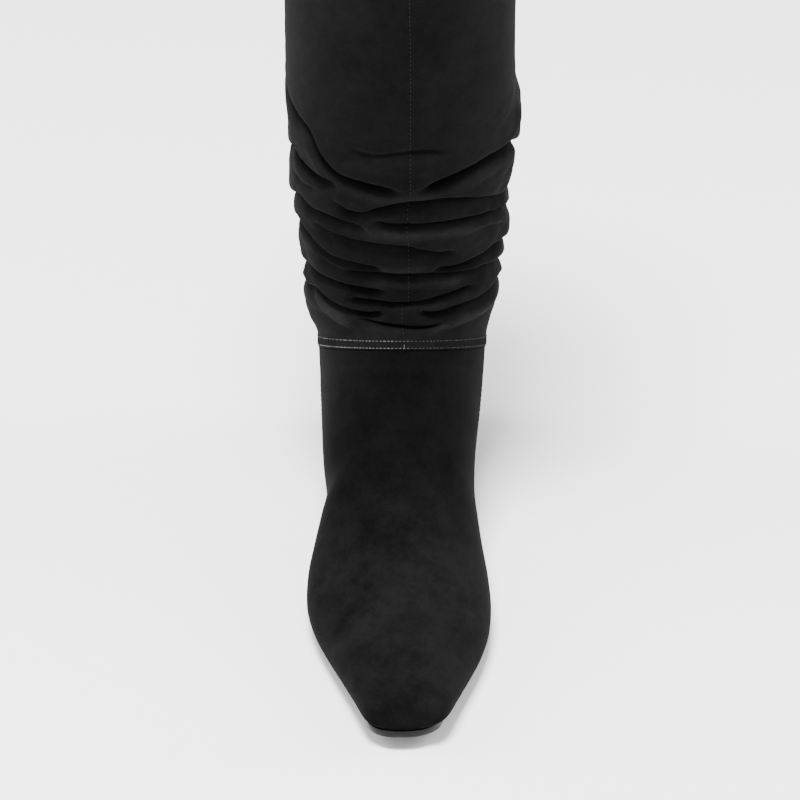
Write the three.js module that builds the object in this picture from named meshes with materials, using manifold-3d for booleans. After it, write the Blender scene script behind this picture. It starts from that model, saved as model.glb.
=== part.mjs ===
// A tall slouch boot for the right foot, in black suede, standing empty on its sole.
// Millimetres. +Z is up, the toe points to -Y and the inner side of the foot to +X.
// The origin is on the floor, under the middle of the heel.
//
// The boot is one last-shaped form. Rings run round it from the toe to the collar: upright rings
// over the forefoot, rings that fan round the heel, and lying rings up the leg. The upper and the
// shaft are shells on that form, and the sole, insole and heel take their outline from the
// footprint that the upper leaves.

import * as THREE from 'three';
import { mergeVertices } from 'three/addons/utils/BufferGeometryUtils.js';
import Module from 'manifold-3d';

const wasm = await Module();
wasm.setup();

// Foot sizes
const FOOT_LENGTH = 262;        // back of the heel to the tip of the toe
const BALL_WIDTH = 88;          // widest part of the forefoot
const INSTEP_RISE = 105;        // footbed to the front of the ankle seam
const COUNTER_RISE = 33;        // heel seat to the back of the ankle seam
const TOE_SPRING = 8;           // lift of the toe tip above the tread

// Leg sizes
const BOOT_HEIGHT = 396;        // floor to the top of the collar
const LEG_WIDTH = 106;          // across the straight top of the shaft
const LEG_DEPTH = 128;          // front to back of the straight top of the shaft
const CALF_OVERHANG = 15;       // how far the shaft stands behind the heel
const CREASE_DEPTH = 6;         // deepest crease in the slouched ankle
const ROLL_HEIGHT = 11;         // from a crease up to where the roll above it is fullest
const ROLL_DROOP = 3;           // how far a roll sags over the crease below it

// Sole and heel sizes
const SOLE_THICKNESS = 3.5;
const SOLE_CHAMFER = 0.8;
const SOLE_MARGIN = 0.8;        // how far the sole stands out past the footprint
const HEEL_LIFT_THICKNESS = 5;
const HEEL_BLOCK_HEIGHT = 15;
const HEEL_LENGTH = 56;         // back of the heel to its breast
const HEEL_INSET = 0.6;         // top of the heel block inside the footprint
const HEEL_TAPER = 1.6;         // how far the heel draws in down to its lift
const BREAST_HOLLOW = 3;        // how far the breast is curved in at its middle
const INSOLE_THICKNESS = 2.4;
const INSOLE_EASE = 1.6;        // insole smaller than the inside of the upper, all round
const LASTING_MARGIN = 13;      // upper turned in under the foot
const SIDE_SEAM_HIGH = 56;      // side seam of the upper, forward of the heel's back, at the ankle
const SIDE_SEAM_LOW = 92;       // and at the sole

// Walls and fits
const UPPER_WALL = 2;
const SHAFT_WALL = 1.8;
const LAP_WALL = 1;             // each layer where the shaft laps the upper
const LAP_HEIGHT = 7;
const GAP = 0.3;                // clearance between pieces that touch

// Mesh fineness
const SIDE_STEPS = 14;          // from the front of a ring down to the feather edge
const FLAT_STEPS = 2;           // from the feather edge to the middle underneath
const RING_POINTS = 2 * (SIDE_STEPS + FLAT_STEPS);
const CURVE_STEPS = 48;
const FOOT_RING_SPACING = 12;   // between rings along the sole
const FOLD_STEPS = 35;
const STRAIGHT_STEPS = 4;
const PLATE_STEPS = 36;

const HEEL_RISE = HEEL_LIFT_THICKNESS + HEEL_BLOCK_HEIGHT + 2 * GAP;
const TREAD_LEVEL = SOLE_THICKNESS + GAP;
const SEAT_LEVEL = TREAD_LEVEL + HEEL_RISE;
const HEEL_MIDDLE = HEEL_LENGTH / 2;
const { clamp, lerp, smoothstep } = THREE.MathUtils;

// Where the footbed bends, as shares of the foot's length from the back of the heel
const SEAT_END = HEEL_LENGTH / FOOT_LENGTH;
const TREAD_START = 0.56;
const TREAD_END = 0.72;

// Height of the underside of the upper above the floor.
function footbed(forward) {
  const share = forward / FOOT_LENGTH;
  const toe = Math.max(0, share - TREAD_END) / (1 - TREAD_END);
  const arch = 1 - smoothstep(share, SEAT_END, TREAD_START);
  return TREAD_LEVEL + HEEL_RISE * arch + TOE_SPRING * toe * toe;
}

// A smooth curve through evenly spaced values, at a fractional place along them.
function curve(values, position) {
  const from = clamp(Math.floor(position), 0, values.length - 2);
  const t = position - from;
  const [a, b, c, d] = [from - 1, from, from + 1, from + 2].map(
    (i) => values[clamp(i, 0, values.length - 1)]);
  return b + 0.5 * t * (c - a + t * (2 * a - 5 * b + 4 * c - d + t * (3 * (b - c) + d - a)));
}

const readColumn = (rows, position, column) => curve(rows.map((row) => row[column]), position);

// The fractional row at which a rising column reaches a value.
function findRow(rows, column, value) {
  const after = Math.max(1, rows.findIndex((row) => row[column] >= value));
  const [from, to] = [rows[after - 1][column], rows[after][column]];
  return after - 1 + (value - from) / (to - from);
}

// Footprint of the upper: half widths as shares of the ball width, along the foot's length.
const FOOTPRINT = [
  { along: 0.00, inner: 0.372, outer: 0.372 },
  { along: 0.16, inner: 0.372, outer: 0.372 },
  { along: 0.32, inner: 0.340, outer: 0.365 },
  { along: 0.46, inner: 0.335, outer: 0.385 },
  { along: 0.58, inner: 0.395, outer: 0.440 },
  { along: 0.66, inner: 0.430, outer: 0.436 },
  { along: 0.74, inner: 0.404, outer: 0.372 },
  { along: 0.80, inner: 0.355, outer: 0.305 },
  { along: 0.86, inner: 0.294, outer: 0.238 },
  { along: 0.92, inner: 0.236, outer: 0.188 },
  { along: 0.965, inner: 0.200, outer: 0.165 },
  { along: 1.00, inner: 0.175, outer: 0.150 },
];
const HEEL_ROUNDING = 0.126;
const HEEL_SQUARENESS = 2;
const TOE_ROUNDING = 0.05;
const TOE_SQUARENESS = 2.5;

// Width near a rounded end of an outline, as a share of its full width.
function roundOff(share, rounding, squareness) {
  const t = clamp(1 - share / rounding, 0, 1);
  return (1 - t ** squareness) ** (1 / squareness);
}

// Half width of the footprint on one side, drawn in by an inset all round.
function footprint(forward, side, inset = 0) {
  const share = clamp((forward - inset) / (FOOT_LENGTH - 2 * inset), 0, 1);
  const half = readColumn(FOOTPRINT, findRow(FOOTPRINT, 'along', share), side) * BALL_WIDTH;
  const heel = roundOff(share, HEEL_ROUNDING, HEEL_SQUARENESS);
  const toe = roundOff(1 - share, TOE_ROUNDING, TOE_SQUARENESS);
  return (half - inset) * heel * toe;
}

// Rings of the foot, toe first. top and bottom are shares of the foot's length. rise is the top
// above the footbed, as a share of the instep. lift is the bottom above the heel seat, as a share
// of the counter. inner, outer and crest, the top's offset to the inner side, are shares of the
// ball width. widest is how far up the ring it is widest, crown and base how square it is above
// and below that, and onBed is 1 where the ring stands on the footbed.
const FOOT_RINGS = [
  { top: 0.9995, bottom: 0.999, rise: 0.044, lift: 0, inner: 0.075, outer: 0.050, crest: 0.020,
    widest: 0.40, crown: 2.4, base: 2.6, onBed: 1 },
  { top: 0.996, bottom: 0.9965, rise: 0.076, lift: 0, inner: 0.135, outer: 0.098, crest: 0.024,
    widest: 0.40, crown: 2.4, base: 2.6, onBed: 1 },
  { top: 0.988, bottom: 0.988, rise: 0.124, lift: 0, inner: 0.210, outer: 0.165, crest: 0.028,
    widest: 0.36, crown: 2.4, base: 2.6, onBed: 1 },
  { top: 0.966, bottom: 0.966, rise: 0.167, lift: 0, inner: 0.259, outer: 0.202, crest: 0.028,
    widest: 0.34, crown: 2.3, base: 2.6, onBed: 1 },
  { top: 0.922, bottom: 0.922, rise: 0.214, lift: 0, inner: 0.306, outer: 0.248, crest: 0.029,
    widest: 0.32, crown: 2.1, base: 2.6, onBed: 1 },
  { top: 0.864, bottom: 0.864, rise: 0.267, lift: 0, inner: 0.368, outer: 0.314, crest: 0.030,
    widest: 0.30, crown: 2, base: 2.5, onBed: 1 },
  { top: 0.802, bottom: 0.802, rise: 0.324, lift: 0, inner: 0.431, outer: 0.387, crest: 0.032,
    widest: 0.28, crown: 1.95, base: 2.5, onBed: 1 },
  { top: 0.740, bottom: 0.740, rise: 0.386, lift: 0, inner: 0.474, outer: 0.454, crest: 0.034,
    widest: 0.27, crown: 1.9, base: 2.5, onBed: 1 },
  { top: 0.679, bottom: 0.679, rise: 0.457, lift: 0, inner: 0.487, outer: 0.496, crest: 0.034,
    widest: 0.27, crown: 1.85, base: 2.5, onBed: 1 },
  { top: 0.618, bottom: 0.618, rise: 0.538, lift: 0, inner: 0.474, outer: 0.496, crest: 0.032,
    widest: 0.28, crown: 1.85, base: 2.5, onBed: 1 },
  { top: 0.572, bottom: 0.568, rise: 0.610, lift: 0, inner: 0.452, outer: 0.473, crest: 0.030,
    widest: 0.30, crown: 1.85, base: 2.5, onBed: 1 },
  { top: 0.528, bottom: 0.510, rise: 0.686, lift: 0, inner: 0.429, outer: 0.438, crest: 0.027,
    widest: 0.33, crown: 1.9, base: 2.5, onBed: 1 },
  { top: 0.495, bottom: 0.430, rise: 0.743, lift: 0, inner: 0.406, outer: 0.397, crest: 0.024,
    widest: 0.37, crown: 1.9, base: 2.6, onBed: 1 },
  { top: 0.471, bottom: 0.340, rise: 0.800, lift: 0, inner: 0.409, outer: 0.418, crest: 0.021,
    widest: 0.40, crown: 1.95, base: 2.6, onBed: 1 },
  { top: 0.453, bottom: 0.250, rise: 0.843, lift: 0, inner: 0.426, outer: 0.427, crest: 0.018,
    widest: 0.43, crown: 2, base: 2.7, onBed: 1 },
  { top: 0.438, bottom: 0.160, rise: 0.876, lift: 0, inner: 0.441, outer: 0.432, crest: 0.016,
    widest: 0.45, crown: 2, base: 2.8, onBed: 1 },
  { top: 0.427, bottom: 0.076, rise: 0.905, lift: 0, inner: 0.453, outer: 0.438, crest: 0.014,
    widest: 0.46, crown: 2.05, base: 2.7, onBed: 1 },
  { top: 0.419, bottom: 0.008, rise: 0.924, lift: 0, inner: 0.461, outer: 0.442, crest: 0.013,
    widest: 0.46, crown: 2.05, base: 2.5, onBed: 1 },
  { top: 0.414, bottom: 0.001, rise: 0.938, lift: 0.14, inner: 0.464, outer: 0.444, crest: 0.012,
    widest: 0.46, crown: 2.1, base: 2.4, onBed: 0 },
  { top: 0.408, bottom: 0.000, rise: 0.952, lift: 0.46, inner: 0.467, outer: 0.446, crest: 0.012,
    widest: 0.47, crown: 2.1, base: 2.3, onBed: 0 },
  { top: 0.399, bottom: 0.004, rise: 0.976, lift: 0.74, inner: 0.470, outer: 0.448, crest: 0.011,
    widest: 0.48, crown: 2.1, base: 2.2, onBed: 0 },
  { top: 0.389, bottom: 0.012, rise: 1.000, lift: 1, inner: 0.474, outer: 0.453, crest: 0.010,
    widest: 0.49, crown: 2.1, base: 2.2, onBed: 0 },
];

// Rings of the leg above the ankle seam, before they are creased. height is a share of the leg's
// rise and tilt, front over back, of the seam's tilt. front, back, inner and outer are shares of
// the way from the ankle seam to the straight top of the shaft.
const LEG_RINGS = [
  { height: 0.03, tilt: 0.86, front: -0.22, back: -0.05, inner: 0.18, outer: 0.26 },
  { height: 0.07, tilt: 0.72, front: -0.30, back: -0.13, inner: 0.46, outer: 0.48 },
  { height: 0.11, tilt: 0.60, front: -0.30, back: -0.10, inner: 0.70, outer: 0.60 },
  { height: 0.15, tilt: 0.48, front: -0.22, back: 0.04, inner: 0.78, outer: 0.68 },
  { height: 0.20, tilt: 0.34, front: 0.00, back: 0.22, inner: 1.00, outer: 0.82 },
  { height: 0.26, tilt: 0.20, front: 0.28, back: 0.46, inner: 1.02, outer: 0.98 },
  { height: 0.31, tilt: 0.08, front: 0.50, back: 0.64, inner: 1.04, outer: 1.08 },
  { height: 0.37, tilt: -0.02, front: 0.70, back: 0.82, inner: 1.34, outer: 1.08 },
  { height: 0.41, tilt: -0.05, front: 0.82, back: 0.90, inner: 1.36, outer: 1.06 },
  { height: 0.45, tilt: -0.06, front: 0.90, back: 0.96, inner: 1.12, outer: 1.02 },
  { height: 0.50, tilt: -0.04, front: 0.97, back: 1.00, inner: 1.02, outer: 1.00 },
  { height: 0.62, tilt: 0.00, front: 1.00, back: 1.00, inner: 1.00, outer: 1.00 },
  { height: 1.00, tilt: 0.00, front: 1.00, back: 1.00, inner: 1.00, outer: 1.00 },
];
const LEG_SQUARENESS = 2.1;
const FOLDED_SHARE = 0.5;       // how far up the leg the folds reach
const BACK_SHARE = 0.3;         // part of a half width that counts as the ring's back

// Both tables as one list of rings in millimetres, toe first.
const footForm = FOOT_RINGS.map((row) => ({
  topForward: row.top * FOOT_LENGTH,
  topLevel: footbed(row.top * FOOT_LENGTH) + row.rise * INSTEP_RISE,
  bottomForward: row.bottom * FOOT_LENGTH,
  bottomLevel: footbed(row.bottom * FOOT_LENGTH) + row.lift * COUNTER_RISE,
  inner: row.inner * BALL_WIDTH,
  outer: row.outer * BALL_WIDTH,
  crest: row.crest * BALL_WIDTH,
  widest: row.widest,
  crown: row.crown,
  base: row.base,
  onBed: row.onBed,
  height: 0,
}));
const seamRing = footForm.at(-1);
const SEAM_TILT = seamRing.topLevel - seamRing.bottomLevel;
const SEAM_LEVEL = (seamRing.topLevel + seamRing.bottomLevel) / 2;
const LEG_RISE = BOOT_HEIGHT - SEAM_LEVEL;
const legForm = LEG_RINGS.map((row) => ({
  topForward: lerp(seamRing.topForward, LEG_DEPTH - CALF_OVERHANG, row.front),
  topLevel: SEAM_LEVEL + row.height * LEG_RISE + row.tilt * SEAM_TILT / 2,
  bottomForward: lerp(seamRing.bottomForward, -CALF_OVERHANG, row.back),
  bottomLevel: SEAM_LEVEL + row.height * LEG_RISE - row.tilt * SEAM_TILT / 2,
  inner: lerp(seamRing.inner, LEG_WIDTH / 2, row.inner),
  outer: lerp(seamRing.outer, LEG_WIDTH / 2, row.outer),
  crest: 0,
  widest: 0.5,
  crown: LEG_SQUARENESS,
  base: LEG_SQUARENESS,
  onBed: 0,
  height: row.height,
}));
const FORM = [...footForm, ...legForm];
const SEAM = footForm.length - 1;
const COLLAR = FORM.length - 1;

// Half a ring as points across and up its plane: its side, from the front point down to the
// feather edge, and what lies under that, or round the back once the ring has left the footbed.
function halfRing(ring, side) {
  const half = ring[side];
  const sign = side === 'inner' ? 1 : -1;
  const down = [];
  for (let i = 0; i <= CURVE_STEPS; i += 1) {
    const angle = (i / CURVE_STEPS) * Math.PI / 2;
    const out = Math.sin(angle) ** (2 / ring.crown);
    const up = Math.abs(Math.cos(angle)) ** (2 / ring.crown);
    down.push(new THREE.Vector2(lerp(ring.crest, sign * half, out), lerp(ring.widest, 1, up)));
  }
  const standing = ring.onBed > 0.5;
  const feather = standing ? Math.min(footprint(ring.bottomForward, side) / half, 0.98) : 0;
  const cut = (1 - feather ** ring.base) ** (1 / ring.base);
  for (let i = 1; i <= CURVE_STEPS; i += 1) {
    const angle = (i / CURVE_STEPS) * Math.asin(cut ** (ring.base / 2));
    const out = Math.abs(Math.cos(angle)) ** (2 / ring.base);
    const low = Math.sin(angle) ** (2 / ring.base);
    down.push(new THREE.Vector2(sign * half * out, ring.widest * (1 - low / cut)));
  }
  if (standing) return { down, under: [down.at(-1), new THREE.Vector2(ring.crest, 0)] };
  const split = down.findIndex((p, i) => i > CURVE_STEPS && p.x * sign < BACK_SHARE * half);
  return { down: down.slice(0, split + 1), under: down.slice(split) };
}

// Points at even spacing along a run of points, and the run's length.
function evenly(points, count) {
  const lengths = [0];
  for (let i = 1; i < points.length; i += 1) {
    lengths.push(lengths[i - 1] + points[i].distanceTo(points[i - 1]));
  }
  const found = [];
  let at = 1;
  for (let i = 0; i <= count; i += 1) {
    const goal = (i / count) * lengths.at(-1);
    while (at < lengths.length - 1 && lengths[at] < goal) at += 1;
    const t = (goal - lengths[at - 1]) / (lengths[at] - lengths[at - 1]);
    found.push(points[at - 1].clone().lerp(points[at], t));
  }
  return { found, length: lengths.at(-1) };
}

// A ring in space: from its front point down the inner side, and back up the outer side. turn
// says how far round the ring each point is, from 0 at the front to 0.5 at the back.
function smoothRing(position) {
  const ring = Object.fromEntries(Object.keys(FORM[0]).map(
    (column) => [column, readColumn(FORM, position, column)]));
  const top = new THREE.Vector2(ring.topForward, ring.topLevel);
  const level = ring.onBed > 0.5 ? footbed(ring.bottomForward) : ring.bottomLevel;
  const bottom = new THREE.Vector2(ring.bottomForward, level);
  const chord = top.distanceTo(bottom);
  const halves = ['inner', 'outer'].map((side) => {
    const { down, under } = halfRing(ring, side);
    const real = (points) => points.map((p) => new THREE.Vector2(p.x, p.y * chord));
    const flank = evenly(real(down), SIDE_STEPS);
    const sole = evenly(real(under), FLAT_STEPS);
    const halfway = 0.5 / (flank.length + sole.length);
    return [
      ...flank.found.map((p, i) => ({ p, turn: halfway * flank.length * i / SIDE_STEPS })),
      ...sole.found.slice(1).map((p, i) => (
        { p, turn: halfway * (flank.length + sole.length * (i + 1) / FLAT_STEPS) })),
    ];
  });
  const outer = halves[1].slice(1, -1).reverse().map(({ p, turn }) => ({ p, turn: -turn }));
  const around = [...halves[0], ...outer];
  const points = around.map(({ p }) => {
    const place = bottom.clone().lerp(top, p.y / chord);
    return new THREE.Vector3(p.x, HEEL_MIDDLE - place.x, place.y);
  });
  return { points, turns: around.map(({ turn }) => turn), height: ring.height };
}

// Creases of the slouched ankle. Each runs between two turns round the leg, where 0 is the front,
// 0.25 the inner side and 0.5 the back. levels are its heights at evenly spaced turns, as shares
// of the leg's rise, and deep is a share of the deepest crease.
const CREASES = [
  { from: -0.12, to: 0.12, deep: 0.4, levels: [0.050, 0.035, 0.025, 0.022, 0.030] },
  { from: -0.50, to: 0.50, deep: 0.6,
    levels: [0.055, 0.055, 0.075, 0.085, 0.058, 0.080, 0.075, 0.060, 0.055] },
  { from: -0.10, to: 0.45, deep: 0.8, levels: [0.094, 0.090, 0.125, 0.105, 0.100] },
  { from: -0.42, to: 0.03, deep: 0.7, levels: [0.110, 0.105, 0.112, 0.135, 0.122, 0.120] },
  { from: -0.10, to: 0.20, deep: 0.5, levels: [0.163, 0.166, 0.158, 0.150] },
  { from: -0.50, to: 0.50, deep: 0.9,
    levels: [0.170, 0.175, 0.196, 0.207, 0.178, 0.190, 0.167, 0.165, 0.170] },
  { from: -0.10, to: 0.12, deep: 0.6, levels: [0.250, 0.258, 0.245, 0.225, 0.210] },
  { from: -0.50, to: 0.50, deep: 0.9,
    levels: [0.235, 0.240, 0.250, 0.300, 0.308, 0.288, 0.223, 0.230, 0.235] },
  { from: -0.10, to: 0.42, deep: 0.7, levels: [0.338, 0.365, 0.340, 0.272, 0.280, 0.290] },
  { from: -0.50, to: 0.50, deep: 1.0,
    levels: [0.360, 0.350, 0.335, 0.374, 0.387, 0.408, 0.360, 0.350, 0.360] },
  { from: -0.50, to: -0.08, deep: 0.5, levels: [0.430, 0.430, 0.455, 0.405] },
  { from: 0.13, to: 0.50, deep: 0.5, levels: [0.450, 0.450, 0.430, 0.430] },
];
const FADE = 0.06;              // turn over which a crease dies away at its ends
const SEAM_HOLD = 0.03;         // share of the leg's rise that the ankle seam keeps smooth
const STEEPNESS = 0.6;          // upper flank of a crease against its lower flank

// How far the creases draw the leg in and let it sag, at a height and a turn round it.
function creased(height, turn) {
  let drawn = 0;
  let sag = 0;
  for (const { from, to, deep, levels } of CREASES) {
    const share = (turn - from) / (to - from);
    if (share < 0 || share > 1) continue;
    const end = Math.min(share, 1 - share) * (to - from);
    const depth = deep * (to - from < 1 ? smoothstep(end, 0, FADE) : 1);
    const level = curve(levels, share * (levels.length - 1));
    const above = (height - level) * LEG_RISE / ROLL_HEIGHT;
    const flank = Math.abs(above > 0 ? above / STEEPNESS : above);
    drawn = Math.max(drawn, depth * Math.exp(-(flank ** 1.5)));
    sag = Math.max(sag, depth * Math.sin(Math.PI * clamp(above / 2, 0, 1)) ** 2);
  }
  const hold = smoothstep(height, 0, SEAM_HOLD);
  return { drawn: drawn * hold * CREASE_DEPTH, sag: sag * hold * ROLL_DROOP };
}

// Where one ring's skin goes outwards, at every point of a list of rings.
function outwards(rings) {
  return rings.map((ring, r) => {
    const before = rings[Math.max(0, r - 1)];
    const after = rings[Math.min(rings.length - 1, r + 1)];
    const faces = ring.map((point, c) => {
      const next = (c + 1) % RING_POINTS;
      const across = ring[next].clone().sub(point);
      const along = after[c].clone().sub(before[c]).add(after[next]).sub(before[next]);
      return across.cross(along).normalize();
    });
    return faces.map((face, c) => {
      const other = faces[(c + RING_POINTS - 1) % RING_POINTS];
      return face.clone().add(other).divideScalar(1 + Math.max(0, face.dot(other)));
    });
  });
}

// The positions of the rings of the two shells along the form.
const seamStep = smoothRing(SEAM).points[0].distanceTo(smoothRing(SEAM - 1).points[0]);
const LAP_START = SEAM - LAP_HEIGHT / seamStep;
const LAP_EDGE = LAP_START + GAP / seamStep;
const steps = (from, to, count) => Array.from({ length: count + 1 },
  (_, i) => lerp(from, to, i / count));
const underLap = footForm.flatMap((ring, r) => {
  const travel = ring.bottomForward - FORM[r + 1].bottomForward;
  const count = Math.max(1, Math.ceil(travel / FOOT_RING_SPACING));
  return steps(r, r + 1, count).slice(0, -1);
}).filter((position) => position < LAP_START);
const footPositions = [...underLap, LAP_START, ...steps(LAP_EDGE, SEAM, 2)];
const legPositions = [
  ...steps(0, FOLDED_SHARE, FOLD_STEPS).slice(1),
  ...steps(FOLDED_SHARE, 1, STRAIGHT_STEPS).slice(1),
].map((height) => SEAM + findRow([{ height: 0 }, ...LEG_RINGS], 'height', height));

// The form's skin at some positions, creased where it is leg.
function skin(positions) {
  const smooth = positions.map(smoothRing);
  const normals = outwards(smooth.map((ring) => ring.points));
  return smooth.map(({ points, turns, height }, r) => points.map((point, c) => {
    if (height <= 0) return point;
    const { drawn, sag } = creased(height, turns[c]);
    const place = point.clone().addScaledVector(normals[r][c], -drawn);
    place.z -= sag;
    return place;
  }));
}

// One face of a wall: some of the rings, moved out of the skin.
function face(rings, normals, from, to, out) {
  return rings.slice(from, to + 1).map((ring, r) => ring.map(
    (point, c) => point.clone().addScaledVector(normals[from + r][c], out)));
}

// A closed solid from triangles of points.
function solid(triangles) {
  const geometry = new THREE.BufferGeometry().setFromPoints(triangles.flat());
  return mergeVertices(geometry, 1e-4);
}

// Triangles between rings of points, each quad split along its shorter diagonal. They face out
// when the rings turn left to right seen from outside and the list runs upwards.
function band(rings, inwards = false) {
  const triangles = [];
  for (let r = 0; r < rings.length - 1; r += 1) {
    const [low, high] = [rings[r], rings[r + 1]];
    for (let c = 0; c < low.length; c += 1) {
      const next = (c + 1) % low.length;
      if (low[c].distanceTo(high[next]) <= low[next].distanceTo(high[c])) {
        triangles.push([low[c], low[next], high[next]], [low[c], high[next], high[c]]);
      } else {
        triangles.push([low[c], low[next], high[c]], [low[next], high[next], high[c]]);
      }
    }
  }
  return inwards ? triangles.map(([a, b, c]) => [a, c, b]) : triangles;
}

// A fan that closes a ring at its middle.
function cap(ring, upwards) {
  const middle = new THREE.Vector3();
  ring.forEach((point) => middle.add(point));
  middle.divideScalar(ring.length);
  const fan = ring.map((point, c) => [middle, point, ring[(c + 1) % ring.length]]);
  return upwards ? fan : fan.map(([a, b, c]) => [a, c, b]);
}

// Boolean work on closed meshes.
function toManifold(geometry) {
  const vertProperties = new Float32Array(geometry.getAttribute('position').array);
  const triVerts = new Uint32Array(geometry.getIndex().array);
  return new wasm.Manifold(new wasm.Mesh({ numProp: 3, vertProperties, triVerts }));
}

function fromManifold(manifold) {
  const mesh = manifold.getMesh();
  const geometry = new THREE.BufferGeometry();
  geometry.setAttribute('position', new THREE.BufferAttribute(mesh.vertProperties, 3));
  geometry.setIndex(new THREE.BufferAttribute(mesh.triVerts, 1));
  return geometry;
}

// An outline of the footprint between two distances from the heel, as pairs of edge points,
// closed by one point at each end. hollow draws the front end in at its middle.
function outline(inset, from, to, level, hollow = 0) {
  const whole = to > FOOT_LENGTH / 2;
  const place = (forward, across) => new THREE.Vector3(across, HEEL_MIDDLE - forward, level(forward));
  const edges = [];
  const count = whole ? PLATE_STEPS : PLATE_STEPS / 2 + 1;
  for (let i = 1; i < count; i += 1) {
    const turn = Math.PI * i / PLATE_STEPS;
    const forward = lerp(from, to, (1 - Math.cos(turn)) / (whole ? 2 : 1));
    edges.push([
      place(forward, footprint(forward, 'inner', inset)),
      place(forward, -footprint(forward, 'outer', inset)),
    ]);
  }
  return { back: place(from, 0), edges, front: place(to - hollow, 0) };
}

// A solid between outlines stacked upwards.
function plate(outlines) {
  const loops = outlines.map(({ back, edges, front }) => [
    back, ...edges.map((pair) => pair[1]), front, ...edges.map((pair) => pair[0]).reverse()]);
  const lid = ({ back, edges, front }) => {
    const triangles = [[back, edges[0][1], edges[0][0]]];
    for (let i = 0; i < edges.length - 1; i += 1) {
      triangles.push([edges[i][0], edges[i][1], edges[i + 1][1]]);
      triangles.push([edges[i][0], edges[i + 1][1], edges[i + 1][0]]);
    }
    triangles.push([edges.at(-1)[0], edges.at(-1)[1], front]);
    return triangles;
  };
  const floor = lid(outlines[0]).map(([a, b, c]) => [a, c, b]);
  return solid([...band(loops), ...floor, ...lid(outlines.at(-1))]);
}

const suede = (name, roughness) => new THREE.MeshStandardMaterial({ name, color: 0x161515, roughness });
const part = new THREE.Group();

function add(name, geometry, material) {
  const mesh = new THREE.Mesh(geometry, material);
  mesh.name = name;
  part.add(mesh);
}

// The upper: a shell from the toe to the ankle seam, open underneath inside its lasting margin,
// skived to a thinner edge where the shaft laps it. A side seam parts it into vamp and counter.
function makeUpper() {
  const rings = skin(footPositions);
  const normals = outwards(rings);
  const last = rings.length - 1;
  const lap = underLap.length;
  const outside = [
    ...face(rings, normals, 0, lap, 0), ...face(rings, normals, lap, last, -LAP_WALL)];
  const inside = face(rings, normals, 1, last, -UPPER_WALL);
  const shell = solid([
    ...cap(outside[0], false), ...band(outside), ...band([outside.at(-1), inside.at(-1)]),
    ...band(inside, true), ...cap(inside[0], true)]);
  const opening = plate([-UPPER_WALL, 2 * UPPER_WALL].map((out) => outline(
    LASTING_MARGIN, LASTING_MARGIN, FOOT_LENGTH - LASTING_MARGIN,
    (forward) => footbed(forward) + out)));
  const whole = toManifold(shell).subtract(toManifold(opening));
  const high = new THREE.Vector2(HEEL_MIDDLE - SIDE_SEAM_HIGH, SEAM_LEVEL);
  const low = new THREE.Vector2(HEEL_MIDDLE - SIDE_SEAM_LOW, footbed(SIDE_SEAM_LOW));
  const run = high.clone().sub(low).normalize();
  const reach = (forwards) => forwards * (high.y * run.x - high.x * run.y) + GAP / 2;
  const half = (forwards) => fromManifold(
    whole.trimByPlane([0, -forwards * run.y, forwards * run.x], reach(forwards)));
  return { vamp: half(1), counter: half(-1) };
}

// The shaft: a shell from the lap at the ankle seam to the collar.
function makeShaft() {
  const lapPositions = [LAP_EDGE, lerp(LAP_EDGE, SEAM, 0.5), SEAM];
  const rings = skin([...lapPositions, ...legPositions]);
  const normals = outwards(rings);
  const last = rings.length - 1;
  const seam = lapPositions.length - 1;
  const outside = face(rings, normals, 0, last, GAP);
  const inside = [
    ...face(rings, normals, 0, seam, GAP - LAP_WALL),
    ...face(rings, normals, seam + 1, last, GAP - SHAFT_WALL)];
  return solid([
    ...band([inside[0], outside[0]]), ...band(outside),
    ...band([outside.at(-1), inside.at(-1)]), ...band(inside, true)]);
}

function makeOutsole() {
  const under = (forward) => footbed(forward) - GAP - SOLE_THICKNESS;
  const whole = (inset, level) => outline(inset, inset, FOOT_LENGTH - inset, level);
  return plate([
    whole(SOLE_CHAMFER - SOLE_MARGIN, under),
    whole(-SOLE_MARGIN, (forward) => under(forward) + SOLE_CHAMFER),
    whole(-SOLE_MARGIN, (forward) => footbed(forward) - GAP),
  ]);
}

function makeInsole() {
  const inset = UPPER_WALL + GAP + INSOLE_EASE;
  return plate([0, INSOLE_THICKNESS].map((out) => outline(
    inset, inset, FOOT_LENGTH - inset,
    (forward) => footbed(forward) + UPPER_WALL + GAP + out)));
}

// A slice of the heel between two heights, drawn in by an inset at each.
function heelSlice(slices) {
  return plate(slices.map(({ inset, level }) => outline(
    inset, inset, HEEL_LENGTH - inset, () => level, BREAST_HOLLOW)));
}

const BLOCK_FOOT = HEEL_LIFT_THICKNESS + GAP;
const SEAT_TOP = BLOCK_FOOT + HEEL_BLOCK_HEIGHT;

const upper = makeUpper();
add('vamp', upper.vamp, suede('suede vamp', 0.95));
add('counter', upper.counter, suede('suede counter', 0.95));
add('shaft', makeShaft(), suede('suede shaft', 0.95));
add('insole', makeInsole(), suede('insole lining', 0.8));
add('outsole', makeOutsole(), suede('sole leather', 0.4));
add('heel_block', heelSlice([
  { inset: HEEL_INSET + HEEL_TAPER, level: BLOCK_FOOT },
  { inset: HEEL_INSET, level: SEAT_TOP },
]), suede('heel leather', 0.4));
add('heel_lift', heelSlice([
  { inset: HEEL_INSET + HEEL_TAPER, level: 0 },
  { inset: HEEL_INSET + HEEL_TAPER, level: HEEL_LIFT_THICKNESS },
]), suede('heel rubber', 0.8));

export default part;
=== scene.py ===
# %% [markdown]
# # A slouch boot in black suede
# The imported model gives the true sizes: a last-shaped foot, a shaft that lies in folds at the
# ankle, a thin sole and a low heel. This lesson dresses it. Each visible piece is made again with
# a finer surface on the same form, and gets the suede, stitches and edges of the real boot.

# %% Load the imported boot
import math

import bmesh
import bpy
from mathutils import Matrix, Vector, noise


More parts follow.
